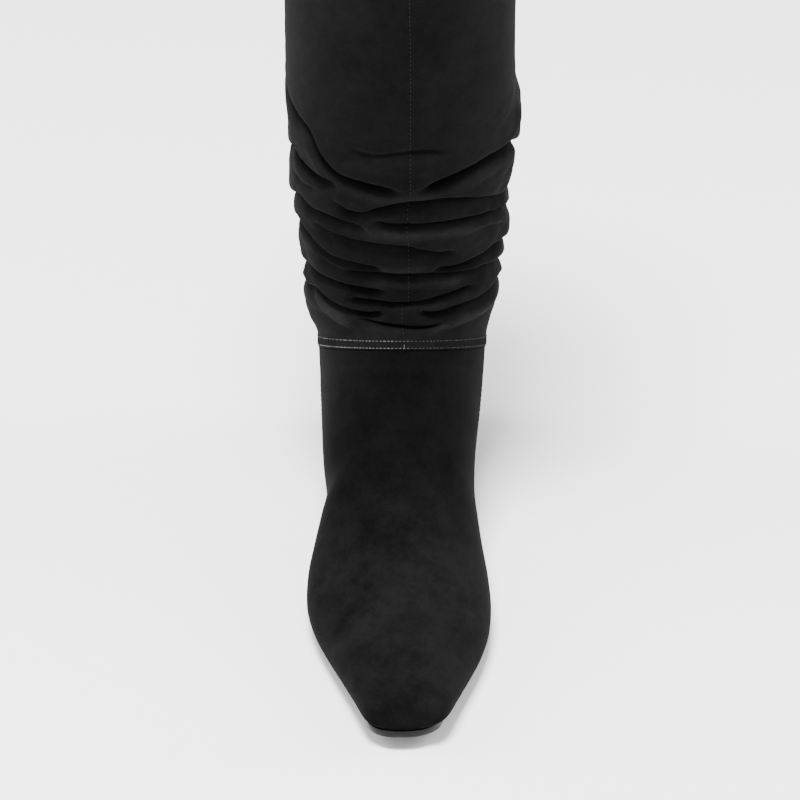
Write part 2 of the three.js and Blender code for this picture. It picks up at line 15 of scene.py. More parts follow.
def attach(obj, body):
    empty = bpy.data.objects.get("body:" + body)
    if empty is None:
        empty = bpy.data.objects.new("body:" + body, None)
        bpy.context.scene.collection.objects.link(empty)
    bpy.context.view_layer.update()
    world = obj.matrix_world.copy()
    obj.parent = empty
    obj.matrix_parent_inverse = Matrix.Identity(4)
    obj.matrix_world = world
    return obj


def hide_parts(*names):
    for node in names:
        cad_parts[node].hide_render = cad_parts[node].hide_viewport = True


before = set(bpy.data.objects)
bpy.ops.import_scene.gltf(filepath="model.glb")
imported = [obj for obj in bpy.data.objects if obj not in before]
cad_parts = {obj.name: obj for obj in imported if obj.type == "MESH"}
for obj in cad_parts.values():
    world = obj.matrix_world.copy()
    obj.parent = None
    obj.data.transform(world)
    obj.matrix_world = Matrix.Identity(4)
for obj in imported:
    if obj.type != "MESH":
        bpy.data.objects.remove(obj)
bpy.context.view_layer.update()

# %% [markdown]
# ## The camera
# The boot is seen from the front and from well above, through a long lens, so the shaft and the
# foot are drawn nearly without perspective. The top of the shaft runs out of the picture. A
# shorter lens would come closer and make the toe look larger than the leg.

# %% Camera
camera_data = bpy.data.cameras.new("camera")
camera_data.lens = 209.3
camera_data.sensor_width = 36
camera_data.clip_end = 20
camera = bpy.data.objects.new("camera", camera_data)
camera.location = (0, -1.8617, 1.3806)
camera.rotation_euler = (math.radians(54), 0, 0)
bpy.context.scene.collection.objects.link(camera)
bpy.context.scene.camera = camera
print("camera", tuple(round(v, 3) for v in camera.location))

# %% [markdown]
# ## A pale room
# Black suede only shows its folds if light grazes them. A broad light hangs above and in front,
# and two tall ones stand at the sides, so that the edges of the boot catch the nap. A faint one
# near the camera keeps the deepest folds from going blank. A bright world alone would light all
# sides alike and the folds would vanish.

# %% Floor, backdrop and lights
def soft_light(name, place, target, size, watts):
    data = bpy.data.lights.new(name, "AREA")
    data.shape = "RECTANGLE"
    data.size, data.size_y = size
    data.energy = watts
    lamp = bpy.data.objects.new(name, data)
    lamp.location = place
    aim = Vector(target) - Vector(place)
    lamp.rotation_euler = aim.to_track_quat("-Z", "Y").to_euler()
    bpy.context.scene.collection.objects.link(lamp)


def plain_material(name, color, roughness, glint=0.5):
    material = bpy.data.materials.new(name)
    material.use_nodes = True
    shader = material.node_tree.nodes["Principled BSDF"]
    shader.inputs["Base Color"].default_value = (*color, 1)
    shader.inputs["Roughness"].default_value = roughness
    shader.inputs["Specular IOR Level"].default_value = glint
    return material


floor_mesh = bpy.data.meshes.new("floor")
bm = bmesh.new()
bmesh.ops.create_grid(bm, x_segments=1, y_segments=1, size=6)
bm.to_mesh(floor_mesh)
bm.free()
floor = bpy.data.objects.new("floor", floor_mesh)
floor_mesh.materials.append(plain_material("pale floor", (0.93, 0.93, 0.93), 0.9))
bpy.context.scene.collection.objects.link(floor)

world = bpy.data.worlds.new("studio")
world.use_nodes = True
world.node_tree.nodes["Background"].inputs["Color"].default_value = (1, 1, 1, 1)
world.node_tree.nodes["Background"].inputs["Strength"].default_value = 0.75
bpy.context.scene.world = world

soft_light("top light", (-0.15, -0.42, 1.95), (0, -0.05, 0.1), (0.6, 0.5), 125)
soft_light("front light", (-0.5, -1.9, 0.9), (0, -0.05, 0.15), (0.9, 0.9), 3)
soft_light("left light", (-1.3, 0.1, 0.7), (0, -0.05, 0.15), (0.5, 1.2), 22)
soft_light("right light", (1.3, 0.1, 0.7), (0, -0.05, 0.15), (0.5, 1.2), 22)
print("lights", len(bpy.data.lights))

# %% [markdown]
# ## Sizes of the boot
# The same sizes and tables as in the solid model, in millimetres. The foot's length runs from the
# back of the heel to the tip of the toe.

# %% Sizes
MM = 0.001
FOOT_LENGTH, BALL_WIDTH = 262.0, 88.0
INSTEP_RISE, COUNTER_RISE, TOE_SPRING = 105.0, 33.0, 8.0
BOOT_HEIGHT, LEG_WIDTH, LEG_DEPTH, CALF_OVERHANG = 396.0, 106.0, 128.0, 15.0
SOLE_THICKNESS, SOLE_MARGIN = 3.5, 0.8
LIFT_THICKNESS, BLOCK_HEIGHT = 5.0, 15.0
HEEL_LENGTH, HEEL_INSET, HEEL_TAPER, BREAST_HOLLOW = 56.0, 0.6, 1.6, 3.0
UPPER_WALL, LAP_WALL, LAP_HEIGHT, GAP = 2.0, 1.0, 7.0, 0.3
LASTING_MARGIN = 13.0

HEEL_RISE = LIFT_THICKNESS + BLOCK_HEIGHT + 2 * GAP
TREAD_LEVEL = SOLE_THICKNESS + GAP
HEEL_MIDDLE = HEEL_LENGTH / 2
SEAT_END, TREAD_START, TREAD_END = HEEL_LENGTH / FOOT_LENGTH, 0.56, 0.72
print("heel rise", HEEL_RISE, "mm")


# %% Curves through tables
def lerp(a, b, t):
    return a + (b - a) * t


def smoothstep(x, low, high):
    t = min(max((x - low) / (high - low), 0), 1)
    return t * t * (3 - 2 * t)


def curve(values, position):
    """A value between the rows of a column, on a smooth curve through them."""
    start = min(max(int(position), 0), len(values) - 2)
    t = position - start
    a, b, c, d = (values[min(max(start + k, 0), len(values) - 1)] for k in (-1, 0, 1, 2))
    return b + 0.5 * t * (c - a + t * (2 * a - 5 * b + 4 * c - d + t * (3 * (b - c) + d - a)))


def find_row(column, value):
    """Where in a rising column a value lies."""
    after = next((i for i, v in enumerate(column) if v >= value and i > 0), len(column) - 1)
    return after - 1 + (value - column[after - 1]) / (column[after] - column[after - 1])


def footbed(forward):
    """Height of the bed of the foot: high under the heel, low at the tread, up again at the toe."""
    share = forward / FOOT_LENGTH
    toe = max(0, share - TREAD_END) / (1 - TREAD_END)
    seat = 1 - smoothstep(share, SEAT_END, TREAD_START)
    return TREAD_LEVEL + HEEL_RISE * seat + TOE_SPRING * toe * toe


print("footbed", [round(footbed(share * FOOT_LENGTH), 1) for share in (0, 0.5, 1)], "mm")


# %% [markdown]
# ## The footprint
# The sole, the insole and the heel all take their outline from the print of the foot: rounded at
# the heel, drawn in at the waist, widest at the ball and cut off softly square at the toe. It
# could be drawn as a curve object, but a table of half widths can be asked at any place.

# %% Footprint: place along the foot, half width to the inner side, half width to the outer side
FOOTPRINT = (
    (0.00, 0.372, 0.372), (0.16, 0.372, 0.372), (0.32, 0.340, 0.365), (0.46, 0.335, 0.385),
    (0.58, 0.395, 0.440), (0.66, 0.430, 0.436), (0.74, 0.404, 0.372), (0.80, 0.355, 0.305),
    (0.86, 0.294, 0.238), (0.92, 0.236, 0.188), (0.965, 0.200, 0.165), (1.00, 0.175, 0.150))
PRINT_ALONG, PRINT_INNER, PRINT_OUTER = zip(*FOOTPRINT)
HEEL_ROUNDING, TOE_ROUNDING, TOE_SQUARENESS = 0.126, 0.05, 2.5


def round_off(share, rounding, squareness):
    t = min(max(1 - share / rounding, 0), 1)
    return (1 - t ** squareness) ** (1 / squareness)


def footprint(forward, side, inset=0.0):
    """Half width of the print on its inner side (1) or outer side (-1), smaller by an inset."""
    share = min(max((forward - inset) / (FOOT_LENGTH - 2 * inset), 0), 1)
    half = BALL_WIDTH * curve(PRINT_INNER if side > 0 else PRINT_OUTER, find_row(PRINT_ALONG, share))
    heel = round_off(share, HEEL_ROUNDING, 2)
    return (half - inset) * heel * round_off(1 - share, TOE_ROUNDING, TOE_SQUARENESS)


print("ball", round(footprint(170, 1) + footprint(170, -1), 1), "mm across the print")

# %% [markdown]
# ## Rings of the form
# Rings run round the boot from the toe to the collar: upright over the forefoot, fanning round
# the heel, lying across the leg. Each table row is one ring. A boot could be sculpted too, but
# rings keep it on the measures of its last, and the suede lies on them without a seam.

# %% Rings of the foot and of the leg
FOOT_COLUMNS = ("top", "bottom", "rise", "lift", "inner", "outer", "crest", "widest", "crown", "base",
                "bed")
FOOT_RINGS = (
    (0.9995, 0.999, 0.044, 0, 0.075, 0.050, 0.020, 0.40, 2.4, 2.6, 1),
    (0.996, 0.9965, 0.076, 0, 0.135, 0.098, 0.024, 0.40, 2.4, 2.6, 1),
    (0.988, 0.988, 0.124, 0, 0.210, 0.165, 0.028, 0.36, 2.4, 2.6, 1),
    (0.966, 0.966, 0.167, 0, 0.259, 0.202, 0.028, 0.34, 2.3, 2.6, 1),
    (0.922, 0.922, 0.214, 0, 0.306, 0.248, 0.029, 0.32, 2.1, 2.6, 1),
    (0.864, 0.864, 0.267, 0, 0.368, 0.314, 0.030, 0.30, 2.0, 2.5, 1),
    (0.802, 0.802, 0.324, 0, 0.431, 0.387, 0.032, 0.28, 1.95, 2.5, 1),
    (0.740, 0.740, 0.386, 0, 0.474, 0.454, 0.034, 0.27, 1.9, 2.5, 1),
    (0.679, 0.679, 0.457, 0, 0.487, 0.496, 0.034, 0.27, 1.85, 2.5, 1),
    (0.618, 0.618, 0.538, 0, 0.474, 0.496, 0.032, 0.28, 1.85, 2.5, 1),
    (0.572, 0.568, 0.610, 0, 0.452, 0.473, 0.030, 0.30, 1.85, 2.5, 1),
    (0.528, 0.510, 0.686, 0, 0.429, 0.438, 0.027, 0.33, 1.9, 2.5, 1),
    (0.495, 0.430, 0.743, 0, 0.406, 0.397, 0.024, 0.37, 1.9, 2.6, 1),
    (0.471, 0.340, 0.800, 0, 0.409, 0.418, 0.021, 0.40, 1.95, 2.6, 1),
    (0.453, 0.250, 0.843, 0, 0.426, 0.427, 0.018, 0.43, 2.0, 2.7, 1),
    (0.438, 0.160, 0.876, 0, 0.441, 0.432, 0.016, 0.45, 2.0, 2.8, 1),
    (0.427, 0.076, 0.905, 0, 0.453, 0.438, 0.014, 0.46, 2.05, 2.7, 1),
    (0.419, 0.008, 0.924, 0, 0.461, 0.442, 0.013, 0.46, 2.05, 2.5, 1),
    (0.414, 0.001, 0.938, 0.14, 0.464, 0.444, 0.012, 0.46, 2.1, 2.4, 0),
    (0.408, 0.000, 0.952, 0.46, 0.467, 0.446, 0.012, 0.47, 2.1, 2.3, 0),
    (0.399, 0.004, 0.976, 0.74, 0.470, 0.448, 0.011, 0.48, 2.1, 2.2, 0),
    (0.389, 0.012, 1.000, 1, 0.474, 0.453, 0.010, 0.49, 2.1, 2.2, 0))
LEG_COLUMNS = ("height", "tilt", "front", "back", "inner", "outer")
LEG_RINGS = (
    (0.03, 0.86, -0.22, -0.05, 0.18, 0.26), (0.07, 0.72, -0.30, -0.13, 0.46, 0.48),
    (0.11, 0.60, -0.30, -0.10, 0.70, 0.60), (0.15, 0.48, -0.22, 0.04, 0.78, 0.68),
    (0.20, 0.34, 0.00, 0.22, 1.00, 0.82), (0.26, 0.20, 0.28, 0.46, 1.02, 0.98),
    (0.31, 0.08, 0.50, 0.64, 1.04, 1.08), (0.37, -0.02, 0.70, 0.82, 1.34, 1.08),
    (0.41, -0.05, 0.82, 0.90, 1.36, 1.06), (0.45, -0.06, 0.90, 0.96, 1.12, 1.02),
    (0.50, -0.04, 0.97, 1.00, 1.02, 1.00), (0.62, 0.00, 1.00, 1.00, 1.00, 1.00),
    (1.00, 0.00, 1.00, 1.00, 1.00, 1.00))
LEG_SQUARENESS = 2.1
FORM_COLUMNS = ("top", "top_z", "bottom", "bottom_z", "inner", "outer", "crest", "widest", "crown", "base",
                "bed", "height")


# %% Both tables as one list of rings in millimetres
def foot_ring(values):
    row = dict(zip(FOOT_COLUMNS, values))
    top, bottom = row["top"] * FOOT_LENGTH, row["bottom"] * FOOT_LENGTH
    return (top, footbed(top) + row["rise"] * INSTEP_RISE,
            bottom, footbed(bottom) + row["lift"] * COUNTER_RISE,
            row["inner"] * BALL_WIDTH, row["outer"] * BALL_WIDTH, row["crest"] * BALL_WIDTH,
            row["widest"], row["crown"], row["base"], row["bed"], 0.0)


form = [foot_ring(values) for values in FOOT_RINGS]
SEAM = len(form) - 1
seam_ring = dict(zip(FORM_COLUMNS, form[SEAM]))
SEAM_TILT = seam_ring["top_z"] - seam_ring["bottom_z"]
SEAM_LEVEL = (seam_ring["top_z"] + seam_ring["bottom_z"]) / 2
LEG_RISE = BOOT_HEIGHT - SEAM_LEVEL


def leg_ring(values):
    row = dict(zip(LEG_COLUMNS, values))
    level = SEAM_LEVEL + row["height"] * LEG_RISE
    lean = row["tilt"] * SEAM_TILT / 2
    return (lerp(seam_ring["top"], LEG_DEPTH - CALF_OVERHANG, row["front"]), level + lean,
            lerp(seam_ring["bottom"], -CALF_OVERHANG, row["back"]), level - lean,
            lerp(seam_ring["inner"], LEG_WIDTH / 2, row["inner"]),
            lerp(seam_ring["outer"], LEG_WIDTH / 2, row["outer"]),
            0.0, 0.5, LEG_SQUARENESS, LEG_SQUARENESS, 0.0, row["height"])


form += [leg_ring(values) for values in LEG_RINGS]
form_columns = dict(zip(FORM_COLUMNS, zip(*form)))
leg_heights = (0.0, *(row[0] for row in LEG_RINGS))
print("rings", len(form), "seam at", round(SEAM_LEVEL, 1), "mm")


# %% The outline of a ring
STEPS = 72
MOST_FEATHER = 0.98     # the ring's foot is at most this share of its widest place
BACK_SHARE = 0.3        # part of a half width that counts as the ring's back


def ring_at(position):
    return {name: curve(values, position) for name, values in form_columns.items()}


def half_ring(ring, side):
    """One half of a ring, across and up: its side from the front point down, then what lies under
    the foot or round the back."""
    half = ring["inner"] if side > 0 else ring["outer"]
    crown, base, widest = ring["crown"], ring["base"], ring["widest"]
    down = []
    for i in range(STEPS + 1):
        angle = i / STEPS * math.pi / 2
        out, up = math.sin(angle) ** (2 / crown), abs(math.cos(angle)) ** (2 / crown)
        down.append((lerp(ring["crest"], side * half, out), lerp(widest, 1, up)))
    standing = ring["bed"] > 0.5
    feather = min(footprint(ring["bottom"], side) / half, MOST_FEATHER) if standing else 0
    cut = (1 - feather ** base) ** (1 / base)
    for i in range(1, STEPS + 1):
        angle = i / STEPS * math.asin(cut ** (base / 2))
        out, low = abs(math.cos(angle)) ** (2 / base), math.sin(angle) ** (2 / base)
        down.append((side * half * out, widest * (1 - low / cut)))
    if standing:
        return down, [down[-1], (ring["crest"], 0)]
    split = next(i for i, p in enumerate(down) if i > STEPS and p[0] * side < BACK_SHARE * half)
    return down[:split + 1], down[split:]


def along(points, shares):
    """Points at shares of the length of a line."""
    lengths = [0.0]
    for a, b in zip(points, points[1:]):
        lengths.append(lengths[-1] + math.dist(a, b))
    found, at = [], 1
    for share in shares:
        goal = share * lengths[-1]
        while at < len(lengths) - 1 and lengths[at] < goal:
            at += 1
        t = (goal - lengths[at - 1]) / (lengths[at] - lengths[at - 1])
        found.append(tuple(lerp(a, b, t) for a, b in zip(points[at - 1], points[at])))
    return found


print("half ring at the seam", len(half_ring(ring_at(SEAM), 1)[0]), "points")


# %% Points round a whole ring
def ring_points(position, side_shares, flat_shares=None):
    """Points round a ring, front, inner side, back and outer side, and its height share."""
    ring = ring_at(position)
    level = footbed(ring["bottom"]) if ring["bed"] > 0.5 else ring["bottom_z"]
    top, bottom = Vector((ring["top"], ring["top_z"])), Vector((ring["bottom"], level))
    chord = (top - bottom).length
    halves = []
    for side in (1, -1):
        down, under = half_ring(ring, side)
        real = [(x, y * chord) for x, y in down]
        flat = [(x, y * chord) for x, y in under]
        if flat_shares is None:
            halves.append(along(real + flat[1:], side_shares))
        else:
            halves.append(along(real, side_shares) + along(flat, flat_shares)[1:])
    around = halves[0] + halves[1][-2:0:-1]
    points = []
    for x, y in around:
        place = bottom.lerp(top, y / chord)
        points.append(Vector((x, HEEL_MIDDLE - place.x, place.y)))
    return points, ring["height"]


print("collar at", round(ring_points(len(form) - 1, (0, 1))[0][0].z, 1), "mm")


# %% Helpers that turn rings into mesh
def outward(rows):
    """Which way the skin faces at each point of rows that go round and up."""
    count, found = len(rows[0]), []
    for r, row in enumerate(rows):
        below, above = rows[max(r - 1, 0)], rows[min(r + 1, len(rows) - 1)]
        found.append([(row[(c + 1) % count] - row[c - 1]).cross(above[c] - below[c]).normalized()
                      for c in range(count)])
    return found


MERGE = 1e-7            # metres, between the two ends of a closed row


def wrap_grid(rows, tones):
    """A grid laid round rows of points and closed where its sides meet, with a tone at each point."""
    count = len(rows[0])
    bm = bmesh.new()
    tone = bm.verts.layers.float.new("tone")
    bmesh.ops.create_grid(bm, x_segments=count, y_segments=len(rows) - 1, size=1)
    for vert in bm.verts:
        c = round((vert.co.x + 1) / 2 * count) % count
        r = round((vert.co.y + 1) / 2 * (len(rows) - 1))
        vert.co = rows[r][c] * MM
        vert[tone] = tones[r][c]
    bmesh.ops.remove_doubles(bm, verts=bm.verts, dist=MERGE)
    return bm


def finish_piece(name, bm, materials, nodes):
    mesh = bpy.data.meshes.new(name)
    bm.to_mesh(mesh)
    bm.free()
    for polygon in mesh.polygons:
        polygon.use_smooth = True
    for material in materials:
        mesh.materials.append(material)
    piece = bpy.data.objects.new(name, mesh)
    bpy.context.scene.collection.objects.link(piece)
    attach(piece, "root")
    if nodes:
        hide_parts(*nodes)
    print(name, len(mesh.polygons), "faces")
    return piece


# %% [markdown]
# ## Black suede
# Suede is leather with its fibres raised. Its nap lies in patches, so the black looks mottled,
# darker where it lies flat and paler where it stands up, and its edges catch a faint halo. The
# patches and the fine grain are one node group, and the sheen stays in the shader. Hairs would
# be truer up close, but from here noise gives the same mottling and costs nothing.

# %% Helpers for shader nodes
def add_node(tree, kind, place, **settings):
    node = tree.nodes.new(kind)
    node.location = place
    for key, value in settings.items():
        setattr(node, key, value)
    return node


def noise_node(tree, vector, place, scale, detail, roughness=0.5):
    node = add_node(tree, "ShaderNodeTexNoise", place)
    node.inputs["Scale"].default_value = scale
    node.inputs["Detail"].default_value = detail
    node.inputs["Roughness"].default_value = roughness
    tree.links.new(vector, node.inputs["Vector"])
    return node


def map_range(tree, place, *values):
    node = add_node(tree, "ShaderNodeMapRange", place)
    for socket, value in zip(("From Min", "From Max", "To Min", "To Max"), values):
        node.inputs[socket].default_value = value
    return node


# %% Suede nap node group
nap = bpy.data.node_groups.new("suede nap", "ShaderNodeTree")
nap.interface.new_socket("Flat", in_out="INPUT", socket_type="NodeSocketColor")
nap.interface.new_socket("Raised", in_out="INPUT", socket_type="NodeSocketColor")
nap.interface.new_socket("Color", in_out="OUTPUT", socket_type="NodeSocketColor")
nap.interface.new_socket("Height", in_out="OUTPUT", socket_type="NodeSocketFloat")
group_in = add_node(nap, "NodeGroupInput", (-900, 0))
group_out = add_node(nap, "NodeGroupOutput", (600, 0))
coordinates = add_node(nap, "ShaderNodeTexCoord", (-900, -200))
spot = coordinates.outputs["Object"]
patches = noise_node(nap, spot, (-600, 200), 95, 8, 0.74)
clouds = noise_node(nap, spot, (-600, 0), 19, 3, 0.55)
grain = noise_node(nap, spot, (-600, -250), 620, 4, 0.65)
both = add_node(nap, "ShaderNodeMix", (-380, 100), data_type="FLOAT")
both.inputs[0].default_value = 0.5
nap.links.new(patches.outputs["Fac"], both.inputs[2])
nap.links.new(clouds.outputs["Fac"], both.inputs[3])
spread = map_range(nap, (-200, 100), 0.39, 0.61)
nap.links.new(both.outputs[0], spread.inputs["Value"])
speckle = add_node(nap, "ShaderNodeMix", (0, 0), data_type="FLOAT")
speckle.inputs[0].default_value = 0.42
nap.links.new(spread.outputs["Result"], speckle.inputs[2])
nap.links.new(grain.outputs["Fac"], speckle.inputs[3])
blend = add_node(nap, "ShaderNodeMix", (250, 100), data_type="RGBA")
nap.links.new(speckle.outputs[0], blend.inputs[0])
nap.links.new(group_in.outputs["Flat"], blend.inputs[6])
nap.links.new(group_in.outputs["Raised"], blend.inputs[7])
nap.links.new(blend.outputs[2], group_out.inputs["Color"])
nap.links.new(grain.outputs["Fac"], group_out.inputs["Height"])
print("suede nap", len(nap.nodes), "nodes")


# %% Suede materials
def suede_material(name, flat, raised):
    """Suede between two colours, made paler or darker by the tone stored on the surface, which holds
    painted shade in the folds, a painted highlight on the crests and painted sheen at the sides of the
    foot.
    """
    material = bpy.data.materials.new(name)
    material.use_nodes = True
    tree = material.node_tree
    shader = tree.nodes["Principled BSDF"]
    shader.inputs["Roughness"].default_value = 0.95
    shader.inputs["Specular IOR Level"].default_value = 0.03
    shader.inputs["Sheen Weight"].default_value = 0.008
    shader.inputs["Sheen Roughness"].default_value = 0.45
    shader.inputs["Sheen Tint"].default_value = (0.75, 0.75, 0.78, 1)
    surface = add_node(tree, "ShaderNodeGroup", (-700, 100), node_tree=nap)
    surface.inputs["Flat"].default_value = (*flat, 1)
    surface.inputs["Raised"].default_value = (*raised, 1)
    # The tone attribute carries painted shade, painted highlight and painted sheen.
    tone = add_node(tree, "ShaderNodeAttribute", (-700, 350), attribute_name="tone")
    toned = add_node(tree, "ShaderNodeVectorMath", (-450, 200), operation="SCALE")
    bump = add_node(tree, "ShaderNodeBump", (-250, -150))
    bump.inputs["Strength"].default_value = 0.35
    bump.inputs["Distance"].default_value = 0.0004
    tree.links.new(surface.outputs["Color"], toned.inputs[0])
    tree.links.new(tone.outputs["Fac"], toned.inputs["Scale"])
    tree.links.new(toned.outputs["Vector"], shader.inputs["Base Color"])
    tree.links.new(surface.outputs["Height"], bump.inputs["Height"])
    tree.links.new(bump.outputs["Normal"], shader.inputs["Normal"])
    return material


foot_suede = suede_material("suede of the foot", (0.0003, 0.0003, 0.0003), (0.0074, 0.0074, 0.0077))
leg_suede = suede_material("suede of the leg", (0.0018, 0.0018, 0.0019), (0.0060, 0.0060, 0.0063))
print("suedes", foot_suede.name, "and", leg_suede.name)


# %% Thread, lining, sole and heel
def worn_thread(name, outer_tone, inner_tone):
    """Thread that is paler on the outer side of the foot and worn in patches."""
    material = plain_material(name, (outer_tone, outer_tone, outer_tone), 0.7, 0.1)
    tree = material.node_tree
    spot = add_node(tree, "ShaderNodeTexCoord", (-1000, 200))
    split = add_node(tree, "ShaderNodeSeparateXYZ", (-800, 300))
    fade = map_range(tree, (-600, 300), -0.012, 0.012, outer_tone, inner_tone)
    wear = noise_node(tree, spot.outputs["Object"], (-800, 0), 260, 2)
    patchy = map_range(tree, (-600, 0), 0.35, 0.65, 0.45, 1.25)
    tone = add_node(tree, "ShaderNodeMath", (-350, 200), operation="MULTIPLY")
    tree.links.new(spot.outputs["Object"], split.inputs[0])
    tree.links.new(split.outputs["X"], fade.inputs["Value"])
    tree.links.new(wear.outputs["Fac"], patchy.inputs["Value"])
    tree.links.new(fade.outputs["Result"], tone.inputs[0])
    tree.links.new(patchy.outputs["Result"], tone.inputs[1])
    tree.links.new(tone.outputs[0], tree.nodes["Principled BSDF"].inputs["Base Color"])
    return material


lining = plain_material("textile lining", (0.03, 0.028, 0.027), 0.85)
edge_black = plain_material("sole edge", (0.002, 0.002, 0.002), 0.3, 0.12)
heel_black = plain_material("heel", (0.004, 0.004, 0.004), 0.4, 0.12)
rubber = plain_material("heel rubber", (0.010, 0.010, 0.010), 0.7, 0.15)
thread = worn_thread("grey thread", 0.085, 0.022)
fine_thread = plain_material("fine grey thread", (0.017, 0.017, 0.0175), 0.8, 0.1)
dark_thread = plain_material("black thread", (0.006, 0.006, 0.006), 0.8, 0.1)
print("materials", len(bpy.data.materials))

# %% [markdown]
# ## The upper
# One smooth piece of suede goes round the foot. It is a grid laid over the form, closed at the
# toe, cut open underneath, and thickened inwards. Its top edge is thinned where the shaft laps it.
# It could be built up from a box and smoothed, but then it would drift off the last.

# %% Upper: rows over the form
SIDE_COUNT, FLAT_COUNT = 50, 10
SIDE_SHARES = [i / SIDE_COUNT for i in range(SIDE_COUNT + 1)]
FLAT_SHARES = [i / FLAT_COUNT for i in range(FLAT_COUNT + 1)]
ROW_SPACING = 2.0       # between rows along the sole
SHORT_RINGS = 4         # the last rings before the seam, whose feet hardly move along the sole
SHORT_TRAVEL = 12.0     # taken as the distance between two of them
LAPPED_ROWS = 3
LAP_STEP = 0.04         # share of a ring's distance over which the upper gets thinner
LAP_SINK = 0.1          # the skived edge lies this much deeper than the lap's thickness
seam_step = (ring_points(SEAM, [0])[0][0] - ring_points(SEAM - 1, [0])[0][0]).length
LAP_START = SEAM - LAP_HEIGHT / seam_step


def foot_positions():
    places = []
    for r in range(SEAM):
        travel = (form[r][2] - form[r + 1][2]) if r < SEAM - SHORT_RINGS else SHORT_TRAVEL
        count = max(3, round(travel / ROW_SPACING))
        places += [r + i / count for i in range(count)]
    places = [p for p in places if p < LAP_START]
    return places + [LAP_START, LAP_START + LAP_STEP, lerp(LAP_START, SEAM, 0.5), SEAM]


foot_rows = [ring_points(p, SIDE_SHARES, FLAT_SHARES)[0] for p in foot_positions()]
foot_normals = outward(foot_rows)
for row, normals in list(zip(foot_rows, foot_normals))[-LAPPED_ROWS:]:
    for c, normal in enumerate(normals):
        row[c] = row[c] - normal * (LAP_WALL + LAP_SINK)

# The toe is closed by smaller and smaller copies of its first ring, bulging a little.
middle = sum(foot_rows[0], Vector()) / len(foot_rows[0])
TOE_BULGE = 0.5
toe_rows = []
for scale in (0.02, 0.25, 0.5, 0.75):
    push = Vector((0, -TOE_BULGE * math.sqrt(1 - scale * scale), 0))
    toe_rows.append([middle + (point - middle) * scale + push for point in foot_rows[0]])
print("upper", len(toe_rows) + len(foot_rows), "rows of", len(foot_rows[0]), "points")

# %% Upper: tone and skin
# Where the foot is coloured darker over the instep: it begins, is darkest, still is, and ends, in
# millimetres in front of the heel's back.
DARK_SPAN = (25, 80, 125, 192)
SPAN_DARK, SPAN_DARK_BESIDE = 0.56, 0.10    # how much darker it is there, and more so at the sides
# The sides get a painted sheen that makes them paler.
MIDDLE_TONE, SIDE_PAINTED_SHEEN = 0.86, 0.26         # tone along the middle, and what the sides add


def foot_tone(point):
    """Darker over the instep, and paler along the sides by a painted sheen."""
    forward = HEEL_MIDDLE - point.y
    # How far a point lies in the darker span, from 0 to 1.
    flat = (1 - smoothstep(forward, *DARK_SPAN[2:])) * smoothstep(forward, *DARK_SPAN[:2])
    beside = min(abs(point.x) / (BALL_WIDTH / 2), 1) ** 2
    darker = flat * (SPAN_DARK + SPAN_DARK_BESIDE * beside)
    # The second factor adds the painted sheen along the sides.
    return (1 - darker) * (MIDDLE_TONE + SIDE_PAINTED_SHEEN * beside)


outer_rows = toe_rows + foot_rows
bm = wrap_grid(outer_rows, [[foot_tone(point) for point in row] for row in outer_rows])
TIP_EDGE = 0.0005       # metres, longer than any edge of the toe's smallest copy
tip = [e for e in bm.edges if e.is_boundary and e.calc_length() < TIP_EDGE]
bmesh.ops.edgeloop_fill(bm, edges=tip)
print("toe closed over", len(tip), "edges")


# %% Upper: open underneath, with a wall
def under_foot(face):
    spot = face.calc_center_median() / MM
    forward = HEEL_MIDDLE - spot.y
    if not LASTING_MARGIN < forward < FOOT_LENGTH - LASTING_MARGIN:
        return False
    side = 1 if spot.x > 0 else -1
    inside = abs(spot.x) < footprint(forward, side, LASTING_MARGIN)
    return inside and spot.z < footbed(forward) + GAP


bmesh.ops.delete(bm, geom=[f for f in bm.faces if under_foot(f)], context="FACES")
upper = finish_piece("boot_upper", bm, (foot_suede, lining), ("vamp", "counter"))


def thicken(piece, thickness):
    """A wall inwards from the skin, with the second material on its inner face."""
    wall = piece.modifiers.new("wall", "SOLIDIFY")
    wall.thickness = thickness * MM
    wall.offset = -1
    wall.material_offset = 1


thicken(upper, UPPER_WALL)
